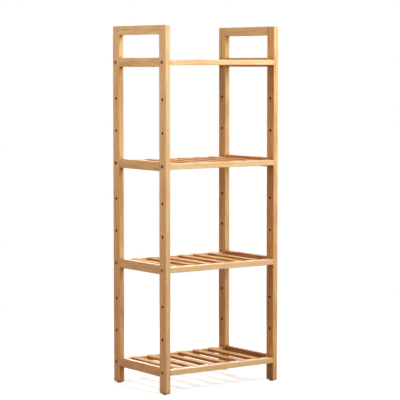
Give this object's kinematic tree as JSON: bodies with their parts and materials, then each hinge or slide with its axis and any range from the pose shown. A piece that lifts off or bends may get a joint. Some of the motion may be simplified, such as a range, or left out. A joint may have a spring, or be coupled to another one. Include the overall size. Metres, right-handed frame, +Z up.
{
  "type": "storage shelf",
  "caption": "Tall open storage shelf: two ladder-like side frames with drilled posts, joined by slatted wooden tiers that are bolted through the posts.",
  "frame": {"origin": "on the floor, under the middle of the shelf", "axes": "+X to the right seen from the front, +Y from the front to the back, +Z up"},
  "size_m": [0.3886, 0.26, 1],
  "materials": {
    "frame_wood": "satin clear lacquer, honey tone",
    "shelf_wood": "satin clear lacquer, honey tone",
    "dowel_wood": "bare, sealed inside the joints",
    "bolt_steel": "dull zinc plate",
    "insert_zinc": "yellow plated, sealed in the rail",
    "glide_plastic": "matt black"
  },
  "bodies": {
    "root": {"front_left_post": "frame_wood", "front_right_post": "frame_wood", "rear_left_post": "frame_wood", "rear_right_post": "frame_wood", "left_top_rail": "frame_wood", "right_top_rail": "frame_wood", "left_rail_1": "frame_wood", "left_rail_2": "frame_wood", "left_rail_3": "frame_wood", "left_rail_4": "frame_wood", "right_rail_1": "frame_wood", "right_rail_2": "frame_wood", "right_rail_3": "frame_wood", "right_rail_4": "frame_wood", "front_rail_1": "shelf_wood", "front_rail_2": "shelf_wood", "front_rail_3": "shelf_wood", "front_rail_4": "shelf_wood", "rear_rail_1": "shelf_wood", "rear_rail_2": "shelf_wood", "rear_rail_3": "shelf_wood", "rear_rail_4": "shelf_wood", "shelf_1_slat_1": "shelf_wood", "shelf_1_slat_2": "shelf_wood", "shelf_1_slat_3": "shelf_wood", "shelf_1_slat_4": "shelf_wood", "shelf_1_slat_5": "shelf_wood", "shelf_1_slat_6": "shelf_wood", "shelf_2_slat_1": "shelf_wood", "shelf_2_slat_2": "shelf_wood", "shelf_2_slat_3": "shelf_wood", "shelf_2_slat_4": "shelf_wood", "shelf_2_slat_5": "shelf_wood", "shelf_2_slat_6": "shelf_wood", "shelf_3_slat_1": "shelf_wood", "shelf_3_slat_2": "shelf_wood", "shelf_3_slat_3": "shelf_wood", "shelf_3_slat_4": "shelf_wood", "shelf_3_slat_5": "shelf_wood", "shelf_3_slat_6": "shelf_wood", "shelf_4_slat_1": "shelf_wood", "shelf_4_slat_2": "shelf_wood", "shelf_4_slat_3": "shelf_wood", "shelf_4_slat_4": "shelf_wood", "shelf_4_slat_5": "shelf_wood", "shelf_4_slat_6": "shelf_wood", "bolts_1": "bolt_steel", "bolts_2": "bolt_steel", "bolts_3": "bolt_steel", "bolts_4": "bolt_steel", "inserts_1": "insert_zinc", "inserts_2": "insert_zinc", "inserts_3": "insert_zinc", "inserts_4": "insert_zinc", "left_dowels": "dowel_wood", "right_dowels": "dowel_wood", "glides": "glide_plastic"}
  },
  "joints": []
}
